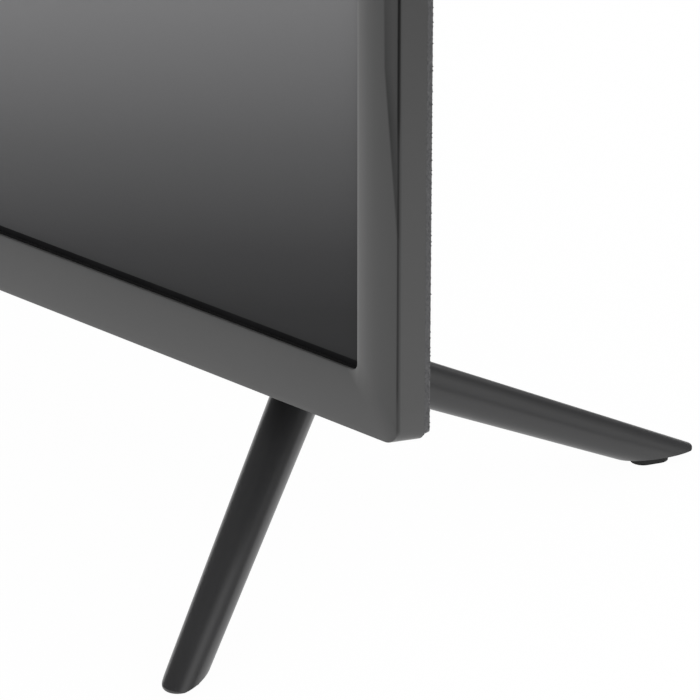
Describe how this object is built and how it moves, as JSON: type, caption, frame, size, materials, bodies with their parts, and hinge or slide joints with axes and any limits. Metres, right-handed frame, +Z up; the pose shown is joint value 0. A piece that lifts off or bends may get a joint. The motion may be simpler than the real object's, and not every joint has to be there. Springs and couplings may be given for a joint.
{
  "type": "flat screen tv",
  "caption": "Flat screen television with a grey plastic bezel, a stepped rear cover with sockets and keys, and V-shaped splayed stands of tapered round legs.",
  "frame": {"origin": "on the surface the set stands on, midway between the stands and between the front and rear feet", "axes": "+X to the viewer's right along the screen, +Y from the screen to the back, +Z up"},
  "size_m": [0.7356, 0.2256, 0.4885],
  "materials": {
    "bezel": "satin dark grey",
    "gasket": "matt black foam",
    "screen": "dark semi-gloss panel",
    "white_plastic": "matt white",
    "optical_film": "translucent white",
    "aluminium_board": "white mask",
    "clear_plastic": "clear",
    "steel": "galvanised",
    "green_board": "solder mask",
    "brown_board": "paper laminate",
    "amber_film": "polyimide",
    "flat_cable": "flat flex",
    "red_wire": "wire",
    "screw": "black zinc",
    "smoked_plastic": "smoked",
    "aluminium": "extruded",
    "socket_metal": "tinned",
    "black_plastic": "moulded",
    "yellow_plastic": "moulded",
    "speaker": "paper cone",
    "key": "satin",
    "cover": "fine moulded texture",
    "leg": "matt dark grey",
    "foot_rubber": "matt black"
  },
  "bodies": {
    "set": {"front_bezel": "bezel", "panel_gasket": "gasket", "lcd_panel": "screen", "middle_frame": "white_plastic", "prism_sheet": "optical_film", "diffusion_sheet": "optical_film", "diffuser_plate": "optical_film", "reflector_sheet": "white_plastic", "led_bars": "aluminium_board", "led_lenses": "clear_plastic", "diffuser_supports": "white_plastic", "backlight_tray": "steel", "source_board": "green_board", "source_films": "amber_film", "panel_cable": "flat_cable", "panel_clips": "steel", "clip_screws": "screw", "ir_board": "green_board", "ir_lens": "smoked_plastic", "main_board": "green_board", "chip_heatsink": "aluminium", "antenna_tuner": "socket_metal", "hdmi_sockets": "socket_metal", "usb_sockets": "socket_metal", "headphone_jack": "black_plastic", "video_jack": "yellow_plastic", "power_board": "brown_board", "power_transformer": "black_plastic", "power_capacitors": "black_plastic", "mains_inlet": "black_plastic", "power_lead": "flat_cable", "backlight_lead": "red_wire", "left_speaker_box": "black_plastic", "right_speaker_box": "black_plastic", "speaker_drivers": "speaker", "speaker_leads": "red_wire", "key_board": "green_board", "key_switches": "black_plastic", "key_lead": "flat_cable", "rear_cover": "cover", "vesa_inserts": "steel", "cover_screws": "screw", "board_screws": "screw", "left_leg_bracket": "steel", "right_leg_bracket": "steel", "left_leg": "leg", "right_leg": "leg", "left_foot_pads": "foot_rubber", "right_foot_pads": "foot_rubber", "leg_screws": "screw"},
    "power_key": {"power_key": "key"},
    "source_key": {"source_key": "key"},
    "menu_key": {"menu_key": "key"},
    "volume_up_key": {"volume_up_key": "key"},
    "volume_down_key": {"volume_down_key": "key"},
    "channel_up_key": {"channel_up_key": "key"},
    "channel_down_key": {"channel_down_key": "key"}
  },
  "joints": [
    {"name": "power_key_press", "type": "slide", "parent": "set", "child": "power_key", "axis": [0, -1, 0], "range_m": [0, 0.0008], "stiffness_N_per_m": 1000},
    {"name": "source_key_press", "type": "slide", "parent": "set", "child": "source_key", "axis": [0, -1, 0], "range_m": [0, 0.0008], "stiffness_N_per_m": 1000},
    {"name": "menu_key_press", "type": "slide", "parent": "set", "child": "menu_key", "axis": [0, -1, 0], "range_m": [0, 0.0008], "stiffness_N_per_m": 1000},
    {"name": "volume_up_key_press", "type": "slide", "parent": "set", "child": "volume_up_key", "axis": [0, -1, 0], "range_m": [0, 0.0008], "stiffness_N_per_m": 1000},
    {"name": "volume_down_key_press", "type": "slide", "parent": "set", "child": "volume_down_key", "axis": [0, -1, 0], "range_m": [0, 0.0008], "stiffness_N_per_m": 1000},
    {"name": "channel_up_key_press", "type": "slide", "parent": "set", "child": "channel_up_key", "axis": [0, -1, 0], "range_m": [0, 0.0008], "stiffness_N_per_m": 1000},
    {"name": "channel_down_key_press", "type": "slide", "parent": "set", "child": "channel_down_key", "axis": [0, -1, 0], "range_m": [0, 0.0008], "stiffness_N_per_m": 1000}
  ]
}
